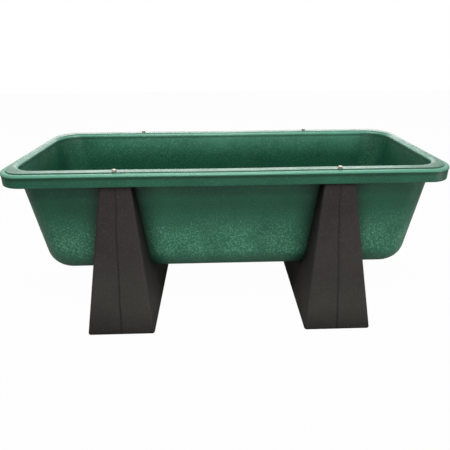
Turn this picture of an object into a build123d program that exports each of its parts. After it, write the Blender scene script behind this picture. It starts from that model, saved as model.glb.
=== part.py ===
from build123d import *
from math import cos, radians, tan
import os

# A bunk feeder: a deep plastic tub with a turned-down rim, bolted down onto two hollow plastic
# stands. Millimetres. X runs along the feeder, Y runs from front to rear, Z is up from the floor.
# The origin is on the floor, under the middle of the feeder.

# Driving sizes: the rim
RIM_LENGTH = 1524.0
RIM_WIDTH = 610.0
RIM_TOP = 548.0
RIM_CORNER_RADIUS = 88.0
SKIRT_HEIGHT = 47.0
SKIRT_WALL = 6.0
SKIRT_EDGE_RADIUS = 2.0
FLANGE_WALL = 8.0

# Driving sizes: the bead and the step that run round the outside of the rim
BAND_INSET = 17.0
STEP_HEIGHT = 3.0
BEAD_HEIGHT = 10.0
BEAD_STAND_OUT = 2.0
BEAD_RADIUS = 7.0
STEP_RADIUS = 1.5

# Driving sizes: the tub, measured on its outside
TUB_DEPTH = 410.0
TUB_WALL = 6.0
END_FLANGE = 26.0
SIDE_FLANGE = 50.0
END_DRAFT = 10.0
SIDE_DRAFT = 1.0
TUB_CORNER_RADIUS = 95.0
TUB_BOTTOM_RADIUS = 88.0
INNER_EDGE_RADIUS = 14.0

# Driving sizes: the stands
STAND_SPACING = 742.0
FOOT_WIDTH = 228.0
FOOT_DEPTH = 812.0
PRONG_TOP_WIDTH = 106.0
STAND_CORNER_RADIUS = 9.0
FOOT_RADIUS = 6.0
STAND_WALL = 6.0
BOSS_LENGTH = 62.0
TONGUE_EDGE_RADIUS = 3.0
SEAM_WIDTH = 1.6
SEAM_HEIGHT = 0.6

# Driving sizes: the fasteners
BOLT_DIAMETER = 8.0
BOLT_LENGTH = 30.0
BOLT_POINT = 1.2
HEAD_SIDES = 6
HEAD_ACROSS_FLATS = 13.0
HEAD_HEIGHT = 5.3
HEAD_CHAMFER = 0.8
BOLT_INSET = 26.0
WASHER_DIAMETER = 17.0
WASHER_THICKNESS = 1.6
INSERT_DIAMETER = 13.0
INSERT_LENGTH = 28.0
INSERT_GROOVE_WIDTH = 3.0
INSERT_GROOVE_DEPTH = 1.0
INSERT_GROOVES = 2

# Clearances
SEAT_GAP = 0.3
SKIRT_GAP = 0.4
SHOULDER_GAP = 4.0
BOLT_GAP = 0.25
RIM_HOLE_GAP = 0.6

# Levels and places that follow from the driving sizes
SHELF_TOP = RIM_TOP - STEP_HEIGHT
BEAD_BOTTOM = SHELF_TOP - BEAD_HEIGHT
SKIRT_BOTTOM = RIM_TOP - SKIRT_HEIGHT
FLANGE_UNDERSIDE = RIM_TOP - FLANGE_WALL
SKIRT_INSIDE = BEAD_STAND_OUT + SKIRT_WALL
TUB_UNDERSIDE = RIM_TOP - TUB_DEPTH
TONGUE_TOP = FLANGE_UNDERSIDE - SEAT_GAP
SHOULDER = SKIRT_BOTTOM - SHOULDER_GAP
PRONG_TOP_DEPTH = RIM_WIDTH - 2 * (SKIRT_INSIDE + SKIRT_GAP)
BOLT_X = STAND_SPACING / 2
BOLT_Y = RIM_WIDTH / 2 - BOLT_INSET
FREE_BORE = BOLT_DIAMETER + 2 * BOLT_GAP
RIM_HOLE = BOLT_DIAMETER + 2 * RIM_HOLE_GAP
FULL_HEIGHT = 2 * RIM_TOP

SIDES = {"left": -1, "right": 1}
ENDS = {"front": -1, "rear": 1}


def lowest(shape):
    return shape.faces().sort_by(Axis.Z)[0]


def highest(shape):
    return shape.faces().sort_by(Axis.Z)[-1]


def rounded_slab(length, width, radius, bottom, top):
    """An upright slab with rounded corners in plan."""
    outline = Plane.XY.offset(bottom) * RectangleRounded(length, width, radius)
    return extrude(outline, top - bottom)


def rim_slab(inset, bottom, top):
    """A slab that keeps a steady distance inside the rim's outer edge."""
    length = RIM_LENGTH - 2 * inset
    width = RIM_WIDTH - 2 * inset
    return rounded_slab(length, width, RIM_CORNER_RADIUS - inset, bottom, top)


def tub_form(growth, top):
    """The tub's outer form as one solid, grown all round by the given distance.

    Its ends and sides lean in by their own drafts, its upright corners are rounded, and a large
    radius runs round its floor.
    """

    def section(height):
        below_rim = RIM_TOP - height
        end_inset = END_FLANGE + below_rim * tan(radians(END_DRAFT))
        side_inset = SIDE_FLANGE + below_rim * tan(radians(SIDE_DRAFT))
        length = RIM_LENGTH - 2 * end_inset + 2 * growth / cos(radians(END_DRAFT))
        width = RIM_WIDTH - 2 * side_inset + 2 * growth / cos(radians(SIDE_DRAFT))
        outline = RectangleRounded(length, width, TUB_CORNER_RADIUS + growth)
        return Plane.XY.offset(height) * outline

    body = loft([section(TUB_UNDERSIDE - growth), section(top)], ruled=True)
    return fillet(lowest(body).edges(), TUB_BOTTOM_RADIUS + growth)


def make_trough():
    """The tub and its rim, one moulding."""
    skirt = rim_slab(BEAD_STAND_OUT, SKIRT_BOTTOM, BEAD_BOTTOM)
    skirt = fillet(lowest(skirt).edges(), SKIRT_EDGE_RADIUS)
    bead = rim_slab(0, BEAD_BOTTOM, SHELF_TOP)
    bead = fillet(highest(bead).edges(), BEAD_RADIUS)
    bead = fillet(lowest(bead).edges(), STEP_RADIUS)
    band = rim_slab(BAND_INSET, SHELF_TOP, RIM_TOP)
    band = fillet(highest(band).edges(), STEP_RADIUS)
    channel = rim_slab(SKIRT_INSIDE, SKIRT_BOTTOM, FLANGE_UNDERSIDE)

    body = skirt + bead + band - channel
    body += tub_form(0, FLANGE_UNDERSIDE)
    body -= tub_form(-TUB_WALL, RIM_TOP)
    mouth = highest(body).inner_wires()[0]
    body = fillet(mouth.edges(), INNER_EDGE_RADIUS)
    for side in SIDES.values():
        for end in ENDS.values():
            body -= Pos(side * BOLT_X, end * BOLT_Y, RIM_TOP) * Cylinder(RIM_HOLE / 2, FULL_HEIGHT)
    return body


def stand_blank(growth, bottom, top):
    """The stand's taper between two levels, wider by the given distance on every side."""

    def section(height):
        share = height / SHOULDER
        width = FOOT_WIDTH + share * (PRONG_TOP_WIDTH - FOOT_WIDTH) + 2 * growth
        depth = FOOT_DEPTH + share * (PRONG_TOP_DEPTH - FOOT_DEPTH) + 2 * growth
        outline = RectangleRounded(width, depth, STAND_CORNER_RADIUS + growth)
        return Plane.XY.offset(height) * outline

    return loft([section(bottom), section(top)], ruled=True)


def make_stand(side, saddle, hollow):
    """A hollow moulded stand whose two prongs rise on either side of the tub."""
    body = stand_blank(0, 0, SHOULDER)
    body = fillet(lowest(body).edges(), FOOT_RADIUS)
    tongues = rounded_slab(PRONG_TOP_WIDTH, PRONG_TOP_DEPTH, STAND_CORNER_RADIUS, SHOULDER, TONGUE_TOP)
    body += fillet(highest(tongues).edges(), TONGUE_EDGE_RADIUS)

    seam = stand_blank(SEAM_HEIGHT, 0, SHOULDER)
    seam = fillet(lowest(seam).edges(), FOOT_RADIUS + SEAM_HEIGHT)
    body += seam & Box(SEAM_WIDTH, 2 * FOOT_DEPTH, FULL_HEIGHT)

    inside = stand_blank(-STAND_WALL, STAND_WALL, TONGUE_TOP - BOSS_LENGTH)
    place = Pos(side * BOLT_X, 0, 0)
    return (place * body - saddle) - (place * inside - hollow)


def make_bolt():
    """A hexagon-headed bolt whose head seats at z = 0 and whose shank points down."""
    head = extrude(RegularPolygon(HEAD_ACROSS_FLATS / 2, HEAD_SIDES, major_radius=False), HEAD_HEIGHT)
    across_corners = HEAD_ACROSS_FLATS / cos(radians(180 / HEAD_SIDES))
    rounding = Pos(0, 0, HEAD_HEIGHT / 2) * Cylinder(across_corners / 2, HEAD_HEIGHT)
    rounding = chamfer(highest(rounding).edges(), HEAD_CHAMFER)
    shank = Pos(0, 0, -BOLT_LENGTH / 2) * Cylinder(BOLT_DIAMETER / 2, BOLT_LENGTH)
    shank = chamfer(lowest(shank).edges(), BOLT_POINT)
    return (head & rounding) + shank


def make_washer():
    """A flat washer lying on z = 0."""
    ring = Circle(WASHER_DIAMETER / 2) - Circle(FREE_BORE / 2)
    return extrude(ring, WASHER_THICKNESS)


def make_insert():
    """A threaded insert whose top is at z = 0, grooved outside so the plastic grips it."""
    body = Pos(0, 0, -INSERT_LENGTH / 2) * Cylinder(INSERT_DIAMETER / 2, INSERT_LENGTH)
    body -= Cylinder(FREE_BORE / 2, FULL_HEIGHT)
    ring = Circle(INSERT_DIAMETER) - Circle(INSERT_DIAMETER / 2 - INSERT_GROOVE_DEPTH)
    groove = extrude(ring, INSERT_GROOVE_WIDTH / 2, both=True)
    for number in range(1, INSERT_GROOVES + 1):
        body -= Pos(0, 0, -INSERT_LENGTH * number / (INSERT_GROOVES + 1)) * groove
    return body


def main():
    os.makedirs("parts", exist_ok=True)
    saddle = tub_form(SEAT_GAP, FLANGE_UNDERSIDE)
    hollow = tub_form(SEAT_GAP + STAND_WALL, FLANGE_UNDERSIDE)
    pieces = {"trough": make_trough()}
    for side_name, side in SIDES.items():
        stand = make_stand(side, saddle, hollow)
        for end_name, end in ENDS.items():
            corner = f"{end_name}_{side_name}"
            x, y = side * BOLT_X, end * BOLT_Y
            insert = Pos(x, y, TONGUE_TOP) * make_insert()
            well = Pos(x, y, TONGUE_TOP) * Cylinder(FREE_BORE / 2, 2 * INSERT_LENGTH)
            stand = stand - insert - well
            pieces[f"{corner}_insert"] = insert
            pieces[f"{corner}_washer"] = Pos(x, y, RIM_TOP) * make_washer()
            pieces[f"{corner}_bolt"] = Pos(x, y, RIM_TOP + WASHER_THICKNESS) * make_bolt()
        pieces[f"{side_name}_stand"] = stand
    for name, shape in pieces.items():
        export_step(shape, f"parts/{name}.step")
        solids = shape.solids()
        print(name, "solids", len(solids), "volume", round(shape.volume), "valid", shape.is_valid)


main()
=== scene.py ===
# %% [markdown]
# # A bunk feeder
# A farm feeder made of one deep green plastic tub, bolted down onto two hollow black plastic stands.
# The CAD model gives every size and place, and it is loaded as a frame that doesn't change. This
# lesson moulds the tub once more with slightly uneven walls, gives each plastic and metal its
# finish, and lights the feeder plainly.

# %% Load the frame
import bpy
import bmesh
from math import cos, pi, radians, sin, tan
from mathutils import Matrix, Vector, noise


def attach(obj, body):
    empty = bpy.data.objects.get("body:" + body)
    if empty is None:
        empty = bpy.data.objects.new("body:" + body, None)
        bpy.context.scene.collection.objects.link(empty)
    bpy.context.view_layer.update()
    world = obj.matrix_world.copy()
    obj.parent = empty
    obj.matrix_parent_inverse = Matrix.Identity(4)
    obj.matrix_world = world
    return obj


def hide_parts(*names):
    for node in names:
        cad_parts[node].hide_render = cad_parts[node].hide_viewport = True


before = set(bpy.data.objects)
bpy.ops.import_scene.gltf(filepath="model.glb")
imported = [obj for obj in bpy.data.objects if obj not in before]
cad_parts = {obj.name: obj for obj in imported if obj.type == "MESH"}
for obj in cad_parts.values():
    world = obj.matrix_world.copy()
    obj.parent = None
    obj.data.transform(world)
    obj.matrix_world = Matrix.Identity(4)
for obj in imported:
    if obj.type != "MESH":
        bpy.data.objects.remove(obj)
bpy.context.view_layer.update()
MM = 0.001


def rounded(values):
    return [round(value, 3) for value in values]


# %% [markdown]
# ## Sizes
# The tub and its rim are one moulding. Its skin can be drawn as rings: each ring is a rounded
# rectangle at some height, and the wall's cross-section says how long, wide and round each ring is.
# The sizes repeat those of the CAD model, because the new skin has to lie where the solid does.
# They come first because the green plastic needs them too, for the lines that run round the rim.

# %% Sizes of the tub, in millimetres
RIM_LENGTH = 1524.0
RIM_WIDTH = 610.0
RIM_TOP = 548.0
RIM_CORNER_RADIUS = 88.0
SKIRT_HEIGHT = 47.0
SKIRT_WALL = 6.0
SKIRT_EDGE_RADIUS = 2.0
FLANGE_WALL = 8.0
BAND_INSET = 17.0
STEP_HEIGHT = 3.0
BEAD_HEIGHT = 10.0
BEAD_STAND_OUT = 2.0
BEAD_RADIUS = 7.0
STEP_RADIUS = 1.5
TUB_DEPTH = 410.0
TUB_WALL = 6.0
END_FLANGE = 26.0
SIDE_FLANGE = 50.0
END_DRAFT = radians(10.0)
SIDE_DRAFT = radians(1.0)
TUB_CORNER_RADIUS = 95.0
TUB_BOTTOM_RADIUS = 88.0
MOUTH_RADIUS = 14.0
STAND_X = 371.0

SHELF_TOP = RIM_TOP - STEP_HEIGHT
BEAD_BOTTOM = SHELF_TOP - BEAD_HEIGHT
SKIRT_BOTTOM = RIM_TOP - SKIRT_HEIGHT
FLANGE_UNDERSIDE = RIM_TOP - FLANGE_WALL
MOUTH_LEVEL = RIM_TOP - MOUTH_RADIUS
TUB_UNDERSIDE = RIM_TOP - TUB_DEPTH
BOTTOM_LEVEL = TUB_UNDERSIDE + TUB_BOTTOM_RADIUS
print(f"the rim is {RIM_LENGTH:.0f} by {RIM_WIDTH:.0f} mm and its top is at {RIM_TOP:.0f} mm")

# %% [markdown]
# ## Camera
# The view is from a metre and a half in front of the feeder and about a metre up, looking slightly
# down on it. A camera could be aimed by hand, but numbers give the same picture each time. The
# focal length and the picture's centre are in pixels of a picture 450 pixels wide. Blender wants a
# lens in millimetres, and a shift, which moves the picture without tilting the camera.

# %% Camera
VIEW_PIXELS = 450
FOCAL_PIXELS = 383.7
CENTRE_X_PIXELS = 225.6
CENTRE_Y_PIXELS = 172.9
EYE = Vector((-39.1, -1469.6, 954.0)) * MM
YAW, PITCH, ROLL = -0.0261, 0.3366, -0.0069
SENSOR_WIDTH = 36.0

ahead = Vector((-sin(YAW) * cos(PITCH), cos(YAW) * cos(PITCH), -sin(PITCH)))
level_right = Vector((cos(YAW), sin(YAW), 0))
level_up = level_right.cross(ahead)
right = cos(ROLL) * level_right + sin(ROLL) * level_up
up = cos(ROLL) * level_up - sin(ROLL) * level_right
camera = bpy.data.objects.new("camera", bpy.data.cameras.new("camera"))
camera.data.sensor_width = SENSOR_WIDTH
camera.data.lens = FOCAL_PIXELS / VIEW_PIXELS * SENSOR_WIDTH
camera.data.shift_x = (VIEW_PIXELS / 2 - CENTRE_X_PIXELS) / VIEW_PIXELS
camera.data.shift_y = (CENTRE_Y_PIXELS - VIEW_PIXELS / 2) / VIEW_PIXELS
camera.matrix_world = Matrix.Translation(EYE) @ Matrix((right, up, -ahead)).transposed().to_4x4()
bpy.context.scene.collection.objects.link(camera)
bpy.context.scene.camera = camera
print("camera lens", round(camera.data.lens, 1), "mm, eye at", rounded(EYE))

# %% [markdown]
# ## A small toolbox for materials
# Every finish here is a Principled shader whose colour, roughness and bumps follow noise. Pictures
# could give them too, but noise needs no unwrapping, shows no seams and stays sharp close up.
# The first helpers start a material, add a node and join two sockets, which keeps recipes short.

# %% Start a material


def start_material(name, **sockets):
    """A new node material; the sockets named here are the same all over the surface."""
    material = bpy.data.materials.new(name)
    material.use_nodes = True
    shader = material.node_tree.nodes["Principled BSDF"]
    for socket, value in sockets.items():
        shader.inputs[socket.replace("_", " ")].default_value = value
    return material, material.node_tree, shader


def node(tree, kind, **values):
    """A node with its plain inputs set by name."""
    made = tree.nodes.new(kind)
    for key, value in values.items():
        made.inputs[key.replace("_", " ")].default_value = value
    return made


def join(tree, source, target):
    tree.links.new(source, target)


print("a material can be started and wired")

# %% [markdown]
# ## Places and shares
# A worn finish is seldom the same all over. How much of it there is at a point is said by a share
# between 0 and 1, worked out from the point's place on the part, such as its height. A picture
# painted by hand could say it too, but a share is moved by changing one number.

# %% Places and shares
NONE_TO_ALL = (0.0, 1.0)
ALL_TO_NONE = (1.0, 0.0)


def place_on_part(tree):
    """The point's place on the part, in metres."""
    return tree.nodes.new("ShaderNodeTexCoord").outputs["Object"]


def along(tree, where, axis):
    """One coordinate of a place, such as "Z" for the height above the floor."""
    made = tree.nodes.new("ShaderNodeSeparateXYZ")
    join(tree, where, made.inputs["Vector"])
    return made.outputs[axis]


def arithmetic(tree, kind, first, second=0.0):
    """A sum of one or two values, each of them a number or the output of a node."""
    made = tree.nodes.new("ShaderNodeMath")
    made.operation = kind
    for socket, value in zip(made.inputs, (first, second)):
        if isinstance(value, (int, float)):
            socket.default_value = value
        else:
            join(tree, value, socket)
    return made.outputs["Value"]


def times(tree, first, *others):
    """The product of all the shares."""
    for other in others:
        first = arithmetic(tree, "MULTIPLY", first, other)
    return first


def stretch_range(tree, value, old, new):
    """Maps the old range onto the new one and clips what lies beyond."""
    made = node(tree, "ShaderNodeMapRange")
    for name, number in zip(("From Min", "From Max", "To Min", "To Max"), (*old, *new)):
        made.inputs[name].default_value = number
    join(tree, value, made.inputs["Value"])
    return made.outputs["Result"]


def between(tree, distance, levels_mm, shares):
    """Goes from one share to the other between two levels, which are in millimetres."""
    return stretch_range(tree, distance, [level * MM for level in levels_mm], shares)


def band(tree, distance, levels_mm):
    """Rises from 0 to 1 between the first two levels and falls between the last two."""
    rise = between(tree, distance, levels_mm[:2], NONE_TO_ALL)
    fall = between(tree, distance, levels_mm[2:], ALL_TO_NONE)
    return times(tree, rise, fall)


print("a share can follow a height or a length")

# %% [markdown]
# ## Noise, colours and bumps
# Noise stands in for everything that a mould and the weather do unevenly. Its value stays mostly
# between 0.3 and 0.7, so recipes use that spread. A Bump node tilts the light on the surface
# without moving it, which is enough for a skin whose grain is finer than the mesh.

# %% Noise, colours and bumps
NOISE_SPREAD = (0.3, 0.7)


def mottle(tree, where, size_mm, detail=2.0, roughness=0.5, stretch=None):
    """Soft noise whose blotches are about so many millimetres across."""
    if stretch:
        mapping = tree.nodes.new("ShaderNodeMapping")
        mapping.inputs["Scale"].default_value = stretch
        join(tree, where, mapping.inputs["Vector"])
        where = mapping.outputs["Vector"]
    scale = 1 / (size_mm * MM)
    made = node(tree, "ShaderNodeTexNoise", Scale=scale, Detail=detail, Roughness=roughness)
    join(tree, where, made.inputs["Vector"])
    return made.outputs["Fac"]


def ramp(tree, value, places, *colours):
    """Goes from one colour to the other between two places."""
    made = tree.nodes.new("ShaderNodeValToRGB")
    for element, place, colour in zip(made.color_ramp.elements, places, colours):
        element.position = place
        element.color = (*colour, 1)
    join(tree, value, made.inputs["Fac"])
    return made.outputs["Color"]


def blend_colours(tree, share, under, over):
    """Lays a plain colour over the one that a node gives, by a share."""
    made = tree.nodes.new("ShaderNodeMix")
    made.data_type = "RGBA"
    join(tree, share, made.inputs["Factor"])
    join(tree, under, made.inputs[6])
    made.inputs[7].default_value = (*over, 1)
    return made.outputs[2]


def bump(tree, height, depth_mm, under=None):
    """Turns a height into a bump of so many millimetres, on top of another bump."""
    made = node(tree, "ShaderNodeBump", Distance=depth_mm * MM, Strength=1.0)
    join(tree, height, made.inputs["Height"])
    if under:
        join(tree, under, made.inputs["Normal"])
    return made.outputs["Normal"]


print("noise, colours and bumps can be laid on")

# %% [markdown]
# ## Shares that follow the form
# The inside and the outside of a wall lie at the same height, so a height can't tell them apart.
# The normal can: an inner wall faces the tub's middle, and an outer wall faces away from it.
# Shade falls where surfaces crowd each other, and an Ambient Occlusion node finds such places for
# painted shade.

# %% Shares that follow the form
TUB_HEART = Vector((0, 0, 300)) * MM
INWARD_TURN = (-0.05, 0.02)
CROWDING = (0.50, 0.95)
CROWDING_SAMPLES = 8


def normals_agree(tree, vector):
    """How far a vector points the way the surface faces."""
    made = tree.nodes.new("ShaderNodeVectorMath")
    made.operation = "DOT_PRODUCT"
    join(tree, vector, made.inputs[0])
    join(tree, tree.nodes.new("ShaderNodeNewGeometry").outputs["Normal"], made.inputs[1])
    return made.outputs["Value"]


def facing_inwards(tree, where):
    """A share that is 1 on surfaces that face the tub's middle and 0 on those that don't."""
    outwards = tree.nodes.new("ShaderNodeVectorMath")
    outwards.operation = "SUBTRACT"
    join(tree, where, outwards.inputs[0])
    outwards.inputs[1].default_value = TUB_HEART
    agreement = normals_agree(tree, outwards.outputs["Vector"])
    return stretch_range(tree, agreement, INWARD_TURN, ALL_TO_NONE)


def tucked_away(tree, reach_mm, most):
    """A share that rises where other surfaces lie within reach."""
    made = node(tree, "ShaderNodeAmbientOcclusion", Distance=reach_mm * MM)
    made.samples = CROWDING_SAMPLES
    return stretch_range(tree, made.outputs["AO"], CROWDING, (most, 0.0))


print("a share can follow the inner walls and the crowded places")

# %% [markdown]
# ## Green plastic
# Moulded polyethylene isn't one flat green. Its colour drifts slowly, and where the lower walls turn
# towards the bright floor they are lighter in patches. One colour would look like paint, so wide
# noise moves between two greens, and a patchy band of painted floor reflection is laid over them at
# those heights.

# %% Green plastic: colour and painted floor reflection
DEEP_GREEN = (0.009, 0.074, 0.040)
FRESH_GREEN = (0.014, 0.097, 0.053)
FLOOR_REFLECTION_GREEN = (0.035, 0.165, 0.095)
DRIFT_SIZE = 160
FLOOR_REFLECTION_LEVELS = (150, 230, 290, 410)
PATCH_SIZE = 90
PATCH_CUT = (0.30, 0.55)
PATCH_SHARES = (0.55, 1.0)
MOST_FLOOR_REFLECTION = 0.55

green, tree, shader = start_material("moulded_green_plastic", IOR=1.5, Specular_IOR_Level=0.34)
spot = place_on_part(tree)
height_here = along(tree, spot, "Z")
length_here = along(tree, spot, "X")
drift = mottle(tree, spot, DRIFT_SIZE, detail=3.0)
colour = ramp(tree, drift, NOISE_SPREAD, DEEP_GREEN, FRESH_GREEN)
patches = stretch_range(tree, mottle(tree, spot, PATCH_SIZE, detail=4.0), PATCH_CUT, PATCH_SHARES)
# painted floor reflection: the lower walls are made lighter in patches, in the colour itself
painted_floor_reflection = times(tree, band(tree, height_here, FLOOR_REFLECTION_LEVELS), patches)
colour = blend_colours(tree, times(tree, painted_floor_reflection, MOST_FLOOR_REFLECTION), colour, FLOOR_REFLECTION_GREEN)
print("the frost is full from", FLOOR_REFLECTION_LEVELS[1], "to", FLOOR_REFLECTION_LEVELS[2], "mm above the floor")

# %% [markdown]
# Pale specks of painted highlight, the glints of the orange peel, pepper the band of painted floor
# reflection and the inner walls and are sparser elsewhere; at this size they are painted as colour.
# Fine noise is cut off at a limit, and the lower the limit, the more specks there are. Faint scuffs
# are noise drawn out along the feeder.

# %% Green plastic: painted glints and scuffs
GLINT_GREEN = (0.10, 0.30, 0.19)
GLINT_SIZE = 6
GLINT_LIMITS = (0.56, 0.46)
GLINT_CONTRAST = 6.0
GLINT_STRENGTHS = (0.26, 0.95)
GLINTS_INSIDE = 0.45
SCUFF_GREEN = (0.10, 0.24, 0.16)
SCUFF_SIZE = 22
SCUFF_STRETCH = (0.35, 1.0, 1.6)
SCUFF_CUT = (0.68, 0.78)
SCUFF_SHARES = (0.0, 0.3)

inside = facing_inwards(tree, spot)
glinty = arithmetic(tree, "MAXIMUM", painted_floor_reflection, times(tree, inside, GLINTS_INSIDE))
glint_noise = mottle(tree, spot, GLINT_SIZE, detail=3.0, roughness=0.7)
glint_limit = stretch_range(tree, glinty, NONE_TO_ALL, GLINT_LIMITS)
over_limit = times(tree, arithmetic(tree, "SUBTRACT", glint_noise, glint_limit), GLINT_CONTRAST)
glint_strength = stretch_range(tree, glinty, NONE_TO_ALL, GLINT_STRENGTHS)
# painted glints: pale specks of highlight laid into the colour
painted_glints = times(tree, stretch_range(tree, over_limit, NONE_TO_ALL, NONE_TO_ALL), glint_strength)
colour = blend_colours(tree, painted_glints, colour, GLINT_GREEN)
scuff_field = mottle(tree, spot, SCUFF_SIZE, detail=5.0, roughness=0.75, stretch=SCUFF_STRETCH)
scuffs = stretch_range(tree, scuff_field, SCUFF_CUT, SCUFF_SHARES)
colour = blend_colours(tree, scuffs, colour, SCUFF_GREEN)
print("the noise for the specks has blotches of about", GLINT_SIZE, "mm")

# %% [markdown]
# Inside, a painted sheen lightens the walls below the mouth, where they catch the light. It fades
# towards the left end and stops short of the right one. Lower down and at both ends, painted shade
# darkens them. Each zone is a pair of levels, which is easier to move than a painted picture.

# %% Green plastic: painted sheen and shade inside the tub
SHEEN_GREEN = (0.075, 0.245, 0.165)
SHEEN_LEVELS = (440, 530)
SHEEN_SHARES = (0.0, 0.80)
UNEVEN_CUT = (0.35, 0.60)
UNEVEN_SHARES = (0.55, 1.0)
LEFT_FADE = (-640, 100)
LEFT_SHARES = (0.25, 1.0)
RIGHT_STOP = (620, 690)
SHADED_GREEN = (0.003, 0.030, 0.016)
LOW_SHADE_LEVELS = (360, 500)
END_SHADE_LEVELS = (580, 710)
MOST_INNER_SHADE = 0.50

near_mouth = between(tree, height_here, SHEEN_LEVELS, SHEEN_SHARES)
uneven = stretch_range(tree, drift, UNEVEN_CUT, UNEVEN_SHARES)
left_end = between(tree, length_here, LEFT_FADE, LEFT_SHARES)
right_end = between(tree, length_here, RIGHT_STOP, ALL_TO_NONE)
# painted sheen: the inner walls are made lighter below the mouth, in the colour
sheen_painted = times(tree, inside, near_mouth, uneven, left_end, right_end)
colour = blend_colours(tree, sheen_painted, colour, SHEEN_GREEN)
# painted shade: the inner walls are made darker low down and at both ends
low_down = between(tree, height_here, LOW_SHADE_LEVELS, (MOST_INNER_SHADE, 0.0))
off_middle = arithmetic(tree, "ABSOLUTE", length_here)
at_ends = between(tree, off_middle, END_SHADE_LEVELS, (0.0, MOST_INNER_SHADE))
painted_inner_shade = times(tree, inside, arithmetic(tree, "MAXIMUM", low_down, at_ends))
colour = blend_colours(tree, painted_inner_shade, colour, SHADED_GREEN)
print("the inner walls are rubbed pale from", SHEEN_LEVELS[0], "mm upwards")

# %% [markdown]
# The bead round the rim gets a pale line of painted highlight. A dark line of painted shadow lies
# below it, and painted shade wherever surfaces meet. Both lines could be thin strips of mesh, but a
# share that follows the bead's own levels can't come loose from it.

# %% Green plastic: painted bead highlight, shadow line and shade
BEAD_HIGHLIGHT_GREEN = (0.11, 0.33, 0.23)
BEAD_LEVELS = (BEAD_BOTTOM + 2, BEAD_BOTTOM + 5, SHELF_TOP, SHELF_TOP + STEP_RADIUS)
MOST_BEAD_HIGHLIGHT = 0.55
BEAD_SHADOW_LEVELS = (BEAD_BOTTOM - 12, BEAD_BOTTOM - 6, BEAD_BOTTOM - 3, BEAD_BOTTOM)
MOST_BEAD_SHADOW = 0.60
DEEP_SHADE_GREEN = (0.002, 0.010, 0.006)
GREEN_SHADE_REACH = 75
MOST_CROWDED_SHADE = 0.94

# painted highlight: a pale line along the bead, in the colour
painted_bead_highlight = times(tree, band(tree, height_here, BEAD_LEVELS), MOST_BEAD_HIGHLIGHT)
colour = blend_colours(tree, painted_bead_highlight, colour, BEAD_HIGHLIGHT_GREEN)
# painted shadow: a dark line just below the bead, in the colour
painted_bead_shadow = times(tree, band(tree, height_here, BEAD_SHADOW_LEVELS), MOST_BEAD_SHADOW)
colour = blend_colours(tree, painted_bead_shadow, colour, SHADED_GREEN)
# painted shade: the colour is darkened where surfaces crowd each other, such as beside the stands
painted_crowded_shade = tucked_away(tree, GREEN_SHADE_REACH, MOST_CROWDED_SHADE)
colour = blend_colours(tree, painted_crowded_shade, colour, DEEP_SHADE_GREEN)
join(tree, colour, shader.inputs["Base Color"])
# the dark line below the bead is painted shadow
print("the dirt line ends at", BEAD_SHADOW_LEVELS[-1], "mm, where the bead begins")

# %% [markdown]
# The skin of such a moulding is like orange peel, which breaks its gloss into specks. One noise
# could do the bumps, but two look more like a real mould: fine peel and slow waves.

# %% Green plastic: gloss and bumps
GLOSS_SIZE = 60
GREEN_ROUGHNESS = (0.30, 0.42)
PEEL_SIZE = 7.0
PEEL_DEPTH = 1.2
WAVE_SIZE = 90
WAVE_DEPTH = 2.0

gloss = mottle(tree, spot, GLOSS_SIZE, detail=4.0)
join(tree, stretch_range(tree, gloss, NOISE_SPREAD, GREEN_ROUGHNESS), shader.inputs["Roughness"])
waves = bump(tree, mottle(tree, spot, WAVE_SIZE, detail=1.0), WAVE_DEPTH)
peel = mottle(tree, spot, PEEL_SIZE, detail=3.0, roughness=0.65)
join(tree, bump(tree, peel, PEEL_DEPTH, under=waves), shader.inputs["Normal"])
print(green.name, "is made of", len(tree.nodes), "nodes")

# %% [markdown]
# ## Black plastic
# The stands are moulded in black plastic with a dull, finely pitted skin. It reads as a warm
# charcoal in daylight, paler near the floor from dust and painted light, and flecked with grey. Pure
# black would hide the form, so noise moves between two charcoals, and dust with painted light and
# flecks go over them.

# %% Black plastic: charcoal, dust with painted light, and flecks
DARK_CHARCOAL = (0.0165, 0.0138, 0.0130)
LIGHT_CHARCOAL = (0.024, 0.0210, 0.0197)
CLOUD_SIZE = 120
DUST_AND_LIT_BLACK = (0.040, 0.038, 0.033)
DUST_AND_LIGHT_LEVELS = (0, 420)
DUST_AND_LIGHT_SHARES = (0.6, 1.0)
FLECK_GREY = (0.085, 0.080, 0.072)
FLECK_SIZE = 5.0
FLECK_CUT = (0.55, 0.75)
FLECK_SHARES = (0.0, 0.5)

black, tree, shader = start_material("pitted_black_plastic", IOR=1.45, Specular_IOR_Level=0.15)
spot = place_on_part(tree)
cloud = mottle(tree, spot, CLOUD_SIZE, detail=3.0)
colour = ramp(tree, cloud, NOISE_SPREAD, DARK_CHARCOAL, LIGHT_CHARCOAL)
near_floor = between(tree, along(tree, spot, "Z"), DUST_AND_LIGHT_LEVELS, ALL_TO_NONE)
# dust and painted light: the charcoal is made paler towards the floor
dust_and_floor_light = times(tree, near_floor, stretch_range(tree, cloud, NOISE_SPREAD, DUST_AND_LIGHT_SHARES))
colour = blend_colours(tree, dust_and_floor_light, colour, DUST_AND_LIT_BLACK)
fleck_field = mottle(tree, spot, FLECK_SIZE, detail=3.0, roughness=0.8)
flecks = stretch_range(tree, fleck_field, FLECK_CUT, FLECK_SHARES)
colour = blend_colours(tree, flecks, colour, FLECK_GREY)
print("the dust reaches", DUST_AND_LIGHT_LEVELS[1], "mm up the stands")

# %% [markdown]
# Knocks polish the stands' edges a little, and a painted highlight lightens them too; the mould's
# two halves leave a parting line up the middle of each prong. It is a raised line in the solid, and
# the dirt beside it makes it plain. A Bevel node bends the normal near an edge, so where it differs
# from the true normal the edge is worn and carries painted highlight. Bright strips of mesh could
# show the edges too, but they would look drawn on.

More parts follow.
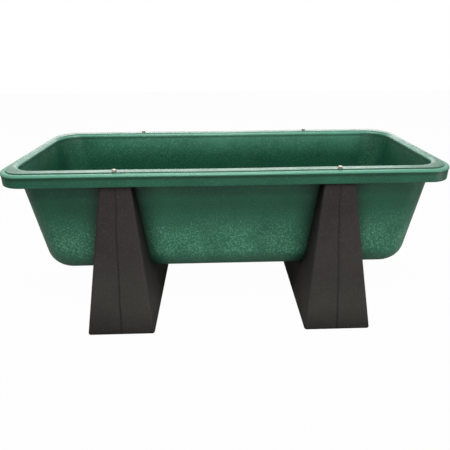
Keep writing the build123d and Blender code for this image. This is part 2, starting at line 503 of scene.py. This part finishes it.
# %% Black plastic: worn edges with painted highlight, and parting line
WORN_AND_HIGHLIGHT_BLACK = (0.075, 0.068, 0.060)
EDGE_REACH = 4
EDGE_TURN = (0.85, 0.99)
WEAR_AND_HIGHLIGHT_CUT = (0.35, 0.6)
WEAR_AND_HIGHLIGHT_SHARES = (0.2, 0.9)
SEAM_BLACK = (0.007, 0.006, 0.006)
SEAM_WANDER = 12
SEAM_WANDER_SIZE = 140
SEAM_EDGES = (1.0, 5.2)
SEAM_SHARES = (0.52, 0.0)
NOISE_MIDDLE = 0.5


def sharp_edges(tree, reach_mm):
    """A share that rises towards the part's edges, within so many millimetres of them."""
    bevel = node(tree, "ShaderNodeBevel", Radius=reach_mm * MM)
    agreement = normals_agree(tree, bevel.outputs["Normal"])
    return stretch_range(tree, agreement, EDGE_TURN, ALL_TO_NONE)


wear_and_highlight = stretch_range(tree, fleck_field, WEAR_AND_HIGHLIGHT_CUT, WEAR_AND_HIGHLIGHT_SHARES)
# wear and painted highlight: the edges are made paler in the colour
wear_and_highlight = times(tree, sharp_edges(tree, EDGE_REACH), wear_and_highlight)
colour = blend_colours(tree, wear_and_highlight, colour, WORN_AND_HIGHLIGHT_BLACK)
wander = arithmetic(tree, "SUBTRACT", mottle(tree, spot, SEAM_WANDER_SIZE), NOISE_MIDDLE)
off_middle = arithmetic(tree, "ABSOLUTE", along(tree, spot, "X"))
across = arithmetic(tree, "ADD", off_middle, times(tree, wander, SEAM_WANDER * MM))
from_seam = arithmetic(tree, "ABSOLUTE", arithmetic(tree, "SUBTRACT", across, STAND_X * MM))
seam = between(tree, from_seam, SEAM_EDGES, SEAM_SHARES)
colour = blend_colours(tree, seam, colour, SEAM_BLACK)
print("the parting lines run about", STAND_X, "mm to either side of the middle")

# %% [markdown]
# The last layers are painted shade in the stands' corners, a dull gloss, and the pits. The pits
# could be cut into the mesh, but they are under a millimetre deep and thousands, so they are a bump.

# %% Black plastic: painted shade, gloss and pits
DEEP_SHADE_BLACK = (0.002, 0.002, 0.002)
BLACK_SHADE_REACH = 130
BLACK_ROUGHNESS = (0.55, 0.7)
PIT_SIZE = 4.0
PIT_DEPTH = 0.6

# painted shade: the charcoal is darkened where surfaces crowd each other
painted_crowded_shade = tucked_away(tree, BLACK_SHADE_REACH, MOST_CROWDED_SHADE)
colour = blend_colours(tree, painted_crowded_shade, colour, DEEP_SHADE_BLACK)
join(tree, colour, shader.inputs["Base Color"])
join(tree, stretch_range(tree, cloud, NOISE_SPREAD, BLACK_ROUGHNESS), shader.inputs["Roughness"])
pits = mottle(tree, spot, PIT_SIZE, detail=3.0, roughness=0.7)
join(tree, bump(tree, pits, PIT_DEPTH), shader.inputs["Normal"])
print(black.name, "is made of", len(tree.nodes), "nodes")

# %% [markdown]
# ## Metals
# The bolts and washers are zinc-plated steel that weather has dulled and yellowed, and the inserts
# inside the stands are brass. A metal needs its colour in the reflection, so Metallic is 1. Noise
# goes into the roughness, with a little tarnish in the colour; stretched noise looks brushed.

# %% Metals
METALS = {
    "zinc_plated_steel": ((0.42, 0.40, 0.34), (0.20, 0.17, 0.12), (0.40, 0.60)),
    "zinc_plated_washer": ((0.34, 0.33, 0.29), (0.18, 0.16, 0.12), (0.40, 0.60)),
    "brass": ((0.72, 0.52, 0.22), (0.42, 0.29, 0.12), (0.30, 0.50)),
}
STAIN_SIZE = 5
STAIN_SPREAD = (0.35, 0.7)
BRUSH_SIZE = 1.2
BRUSH_STRETCH = (1.0, 1.0, 6.0)
BRUSH_DEPTH = 0.03


def weathered_metal(name):
    """A metal by its name; its row holds a bright colour, a tarnished one and its roughness."""
    bright, tarnished, roughness = METALS[name]
    material, tree, shader = start_material(name, Metallic=1.0)
    spot = place_on_part(tree)
    stain = mottle(tree, spot, STAIN_SIZE, detail=4.0)
    join(tree, ramp(tree, stain, STAIN_SPREAD, bright, tarnished), shader.inputs["Base Color"])
    brushed = mottle(tree, spot, BRUSH_SIZE, stretch=BRUSH_STRETCH)
    join(tree, stretch_range(tree, brushed, NOISE_SPREAD, roughness), shader.inputs["Roughness"])
    join(tree, bump(tree, brushed, BRUSH_DEPTH), shader.inputs["Normal"])
    return material


zinc, zinc_washer, brass = (weathered_metal(name) for name in METALS)
print("the metals are", ", ".join(METALS))

# %% [markdown]
# ## Finish every piece
# The last word of each piece's name says what it is, such as front_left_bolt, so one table gives
# every piece its finish. The tub of the CAD model is finished too, though a new skin replaces it.

# %% Finish every piece
FINISHES = {
    "bolt": zinc,
    "washer": zinc_washer,
    "insert": brass,
    "stand": black,
    "trough": green,
}
for name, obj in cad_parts.items():
    finish = FINISHES[name.rsplit("_", 1)[-1]]
    obj.data.materials.clear()
    obj.data.materials.append(finish)
    print(name, "is finished in", finish.name)

# %% [markdown]
# ## The tub
# On the real feeder the tub and its rim are one moulding of even thickness. The plain solid of the
# CAD model has the right shape but ruler-straight walls. Here the same cross-section is swept
# through rings of points, so that the long walls can ripple a little between the stands and the
# long rims can sag a millimetre or so, as a real moulding does when it cools.
# A box with bevels could give the outline too, but rings keep every edge's radius exact.

# %% Rings of the tub
INTO_FLOOR = 1
ONTO_RIM = -1


def end_wall(height, growth):
    """How far the end wall's outside, grown by so much, stands from the middle at a height."""
    leaned_in = END_FLANGE + (RIM_TOP - height) * tan(END_DRAFT)
    return RIM_LENGTH / 2 - leaned_in + growth / cos(END_DRAFT)


def side_wall(height, growth):
    """The same for the long side walls."""
    leaned_in = SIDE_FLANGE + (RIM_TOP - height) * tan(SIDE_DRAFT)
    return RIM_WIDTH / 2 - leaned_in + growth / cos(SIDE_DRAFT)


def wall_ring(growth, height):
    """A ring on the tub's walls: half its length, half its width, its corners and its height."""
    corners = TUB_CORNER_RADIUS + growth
    return (end_wall(height, growth), side_wall(height, growth), corners, height)


def rim_ring(inset, height):
    """A ring that keeps a steady distance inside the rim's outer edge."""
    return (RIM_LENGTH / 2 - inset, RIM_WIDTH / 2 - inset, RIM_CORNER_RADIUS - inset, height)


def rounding(radius, level, angle, growth, bend):
    """A ring on the rounding from the walls into the floor, or from the walls onto the rim."""
    height = level - bend * radius * sin(angle)
    reach, moved = [], 0.0
    for wall, draft in ((end_wall, END_DRAFT), (side_wall, SIDE_DRAFT)):
        straight = wall(height, growth)
        centre = wall(level, growth) - bend * radius / cos(draft)
        here = centre + bend * radius * cos(angle) if angle > draft else straight
        moved += (straight - here) / 2
        reach.append(here)
    return (*reach, TUB_CORNER_RADIUS + growth - moved, height)


lowest_ring = rounding(TUB_BOTTOM_RADIUS, BOTTOM_LEVEL, pi / 2, 0, INTO_FLOOR)
print("the flat of the floor reaches", rounded(lowest_ring[:2]), "mm from the middle")

# %% [markdown]
# The cross-section is walked in one stroke: from the edge of the inner floor up the inside, over
# the mouth and the stepped rim, down the skirt, up behind it, and down the outside to the floor's
# underside. It could be drawn as a curve and lofted, but a list of rings is simpler to follow.

# %% Cross-section of the tub
WALL_STEPS = 14
BOTTOM_STEPS = 12
ROUNDING_STEPS = 6
EDGE_STEPS = 3
SKIRT_STEPS = 4


def spread(first, last, count):
    """Values from the first to the last in so many equal steps."""
    return [first + (last - first) * step / count for step in range(count + 1)]


def quarter(count):
    """The angles of a quarter turn."""
    return spread(0, pi / 2, count)


def rounded_edge(radius, steps):
    """How far from the sharp corner a rounded edge lies, measured along both of its sides."""
    return [(radius * (1 - sin(angle)), radius * (1 - cos(angle))) for angle in quarter(steps)]


# the inside, from the floor up to the mouth
rings = []
for angle in reversed(quarter(BOTTOM_STEPS)):
    inner_radius = TUB_BOTTOM_RADIUS - TUB_WALL
    rings.append(rounding(inner_radius, BOTTOM_LEVEL, angle, -TUB_WALL, INTO_FLOOR))
for height in spread(BOTTOM_LEVEL, MOUTH_LEVEL, WALL_STEPS)[1:-1]:
    rings.append(wall_ring(-TUB_WALL, height))
for angle in quarter(ROUNDING_STEPS):
    rings.append(rounding(MOUTH_RADIUS, MOUTH_LEVEL, angle, -TUB_WALL, ONTO_RIM))

# the band on top, the step down from it, and the bead
for inwards, down in rounded_edge(STEP_RADIUS, EDGE_STEPS):
    rings.append(rim_ring(BAND_INSET + inwards, RIM_TOP - down))
rings.append(rim_ring(BAND_INSET, SHELF_TOP))
for down, inwards in reversed(rounded_edge(BEAD_RADIUS, ROUNDING_STEPS)):
    rings.append(rim_ring(inwards, SHELF_TOP - down))
for raised, inwards in rounded_edge(STEP_RADIUS, EDGE_STEPS):
    rings.append(rim_ring(inwards, BEAD_BOTTOM + raised))

# the skirt's outside, its lower edge, and its inside
for height in spread(BEAD_BOTTOM, SKIRT_BOTTOM + SKIRT_EDGE_RADIUS, SKIRT_STEPS):
    rings.append(rim_ring(BEAD_STAND_OUT, height))
for raised, inwards in rounded_edge(SKIRT_EDGE_RADIUS, EDGE_STEPS)[1:]:
    rings.append(rim_ring(BEAD_STAND_OUT + inwards, SKIRT_BOTTOM + raised))
for height in (SKIRT_BOTTOM, FLANGE_UNDERSIDE):
    rings.append(rim_ring(BEAD_STAND_OUT + SKIRT_WALL, height))

# the tub's outside, down to the underside of its floor
for height in spread(FLANGE_UNDERSIDE, BOTTOM_LEVEL, WALL_STEPS)[:-1]:
    rings.append(wall_ring(0, height))
for angle in quarter(BOTTOM_STEPS):
    rings.append(rounding(TUB_BOTTOM_RADIUS, BOTTOM_LEVEL, angle, 0, INTO_FLOOR))
print("the tub is drawn through", len(rings), "rings")

# %% [markdown]
# Each ring becomes points in the same order, anticlockwise from the right-hand end. A rounded
# rectangle is four quarter circles with straight stretches between them. Every ring gets as many
# points as every other, so that neighbouring rings can be joined point to point.

# %% From a ring to points
CORNER_STEPS = 14
SIDE_STEPS = 60
END_STEPS = 16


def corner_centre(quadrant, half_length, half_width, radius, height):
    sign_x = 1 if quadrant in (0, 3) else -1
    sign_y = 1 if quadrant in (0, 1) else -1
    return Vector((sign_x * (half_length - radius), sign_y * (half_width - radius), height))


def on_circle(radius, angle):
    return Vector((radius * cos(angle), radius * sin(angle), 0))


def ring_points(*ring):
    """The points round one ring, which is given as its lengths, its corners and its height."""
    radius = ring[2]
    points = []
    for quadrant in range(4):
        centre = corner_centre(quadrant, *ring)
        for step in range(CORNER_STEPS + 1):
            points.append(centre + on_circle(radius, (quadrant + step / CORNER_STEPS) * pi / 2))
        steps = END_STEPS if quadrant % 2 else SIDE_STEPS
        following = corner_centre((quadrant + 1) % 4, *ring)
        following += on_circle(radius, (quadrant + 1) * pi / 2)
        last = points[-1]
        points += [last.lerp(following, step / steps) for step in range(1, steps)]
    return points


per_ring = len(ring_points(*rings[0]))
print("each ring has", per_ring, "points")

# %% [markdown]
# A real moulding shrinks unevenly as it cools, so its long rims sag slightly and its long walls
# ripple. A Displace modifier could do this, but it would also move the tub where the stands and
# the bolts hold it. Here both fade out there, so the tub still sits in its saddles.

# %% Sag and ripple, in millimetres
SAG = 1.2
FREE_SPAN = STAND_X - 40
RIPPLE = 0.9
RIPPLE_LENGTH = 170
RIPPLE_HEIGHT = 120
LONG_SIDE = (150, 240)
RIM_ZONE = (430, 520)
CLEAR_OF_STAND = (125, 175)


def ease(value, low, high):
    """Rises smoothly from 0 to 1 between two values."""
    share = min(max((value - low) / (high - low), 0.0), 1.0)
    return share * share * (3 - 2 * share)


def relax(point):
    """Lets the long rims sag between the bolts and the long walls ripple clear of the stands."""
    x, y, z = point
    long_side = ease(abs(y), *LONG_SIDE)
    rim = ease(z, *RIM_ZONE)
    sag = SAG * max(1 - (x / FREE_SPAN) ** 2, 0) ** 2 * rim * long_side
    ripple = RIPPLE * noise.noise(Vector((x / RIPPLE_LENGTH, 0, z / RIPPLE_HEIGHT)))
    ripple *= (1 - rim) * long_side * ease(abs(abs(x) - STAND_X), *CLEAR_OF_STAND)
    ripple *= ease(z, TUB_UNDERSIDE, BOTTOM_LEVEL)
    return Vector((x, y + (ripple if y > 0 else -ripple), z - sag)) * MM


middle_of_rim = relax((0, RIM_WIDTH / 2, RIM_TOP))
print("the long rims sag by", round(RIM_TOP - middle_of_rim.z / MM, 2), "mm in the middle")

# %% [markdown]
# Each ring is joined to the next by a band of four-sided faces, and the two floors close with one
# face each. The faces are shaded smooth except across true edges, and a Weighted Normal modifier
# keeps the broad flat faces flat beside their narrow roundings.

# %% Mould the tub
SHARP_ANGLE = radians(50)

sheet = bmesh.new()
verts = [[sheet.verts.new(relax(point)) for point in ring_points(*ring)] for ring in rings]
for lower, upper in zip(verts, verts[1:]):
    for here in range(per_ring):
        beside = (here + 1) % per_ring
        sheet.faces.new((lower[here], lower[beside], upper[beside], upper[here]))
sheet.faces.new(verts[0])
sheet.faces.new(list(reversed(verts[-1])))
bmesh.ops.recalc_face_normals(sheet, faces=sheet.faces)
for face in sheet.faces:
    face.smooth = True
tub_mesh = bpy.data.meshes.new("feed_tub")
sheet.to_mesh(tub_mesh)
sheet.free()
tub_mesh.set_sharp_from_angle(angle=SHARP_ANGLE)
tub_mesh.materials.append(green)
tub = bpy.data.objects.new("feed_tub", tub_mesh)
bpy.context.scene.collection.objects.link(tub)
even = tub.modifiers.new("even_shading", "WEIGHTED_NORMAL")
even.keep_sharp = True
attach(tub, "root")
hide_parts("trough")
print("feed_tub has", len(tub_mesh.polygons), "faces,", per_ring, "round each ring")

# %% [markdown]
# ## The world
# A white world stands in for a studio's walls. If it gave all the light, the feeder would look
# flat, so a Light Path node lets the camera, reflections and clear surfaces see it as white, while
# it lights everything else only faintly and the lamps do the rest.

# %% White world
WHITE = (1.0, 1.0, 1.0, 1.0)
WORLD_LIGHT = 0.02


def white_when_seen(tree, otherwise):
    """A strength that is 1 for rays from the camera or off glossy and clear surfaces."""
    rays = tree.nodes.new("ShaderNodeLightPath").outputs
    seen = arithmetic(tree, "MAXIMUM", rays["Is Camera Ray"], rays["Is Glossy Ray"])
    seen = arithmetic(tree, "MAXIMUM", seen, rays["Is Transmission Ray"])
    return stretch_range(tree, seen, NONE_TO_ALL, (otherwise, 1.0))


world = bpy.data.worlds.new("studio")
bpy.context.scene.world = world
world.use_nodes = True
background = world.node_tree.nodes["Background"]
background.inputs["Color"].default_value = WHITE
world_strength = white_when_seen(world.node_tree, WORLD_LIGHT)
join(world.node_tree, world_strength, background.inputs["Strength"])
print("the world's strength is 1 where it is seen and", WORLD_LIGHT, "elsewhere")

# %% [markdown]
# ## The floor
# The floor carries the feeder's shadow and has to be as white as the world behind it. White paint
# would throw much light up at the feeder, so the floor is grey to the light and glows only for the
# camera. A little less than full glow keeps the shadow faintly visible.

# %% Floor
FLOOR_HALF = 6.0
FLOOR_GREY = (0.34, 0.34, 0.335, 1.0)
FLOOR_GLOW = 0.98
SIGNS = ((-1, -1), (1, -1), (1, 1), (-1, 1))

floor_material, tree, shader = start_material("pale_floor", Base_Color=FLOOR_GREY, Roughness=0.9)
glow = node(tree, "ShaderNodeEmission", Color=WHITE, Strength=1.0)
rays = tree.nodes.new("ShaderNodeLightPath").outputs
mix = tree.nodes.new("ShaderNodeMixShader")
join(tree, times(tree, rays["Is Camera Ray"], FLOOR_GLOW), mix.inputs["Fac"])
join(tree, shader.outputs["BSDF"], mix.inputs[1])
join(tree, glow.outputs["Emission"], mix.inputs[2])
join(tree, mix.outputs["Shader"], tree.nodes["Material Output"].inputs["Surface"])

floor_mesh = bpy.data.meshes.new("floor")
corners = [(x * FLOOR_HALF, y * FLOOR_HALF, 0) for x, y in SIGNS]
floor_mesh.from_pydata(corners, [], [(0, 1, 2, 3)])
floor_mesh.materials.append(floor_material)
floor = bpy.data.objects.new("floor", floor_mesh)
bpy.context.scene.collection.objects.link(floor)
print("the floor reaches", FLOOR_HALF, "m each way")

# %% [markdown]
# ## Lamps
# A lamp high in front throws the rim's shadow onto the tub, and a box above and one behind brighten
# everything that faces up. A low card in front fills the lower half of the tub, and a small one at
# the right brings out its grain and lights the left stand's inner face. One sun could light the
# feeder too, but its hard shadows would hide the stands.

# %% Lamps


def soft_box(name, place, aim, size, watts):
    """A rectangular lamp at a place, turned towards what it lights; lengths are in metres."""
    lamp = bpy.data.lights.new(name, "AREA")
    lamp.shape = "RECTANGLE"
    lamp.size, lamp.size_y = size
    lamp.energy = watts
    obj = bpy.data.objects.new(name, lamp)
    obj.location = place
    obj.rotation_euler = (Vector(aim) - Vector(place)).to_track_quat("-Z", "Y").to_euler()
    bpy.context.scene.collection.objects.link(obj)


soft_box("front_key", (-0.3, -2.7, 3.2), aim=(0, -0.3, 0.3), size=(0.9, 0.6), watts=42)
soft_box("top_box", (0, -0.75, 2.4), aim=(0, -0.2, 0.4), size=(1.5, 0.8), watts=56)
soft_box("rear_box", (0, 2.8, 1.75), aim=(0, 0, 0.5), size=(4.6, 1.2), watts=80)
soft_box("front_card", (0, -3.0, 1.0), aim=(0, 0, 0.45), size=(2.6, 0.6), watts=22)
soft_box("side_card", (2.4, -1.3, 0.40), aim=(0, -0.35, 0.25), size=(0.5, 0.5), watts=13)
print(sum(lamp.energy for lamp in bpy.data.lights), "W of lamps in all")

# %% [markdown]
# ## Colour view
# The Standard view keeps each colour about as it was written, where a film-like one would change it.

# %% Finish
bpy.context.scene.view_settings.view_transform = "Standard"
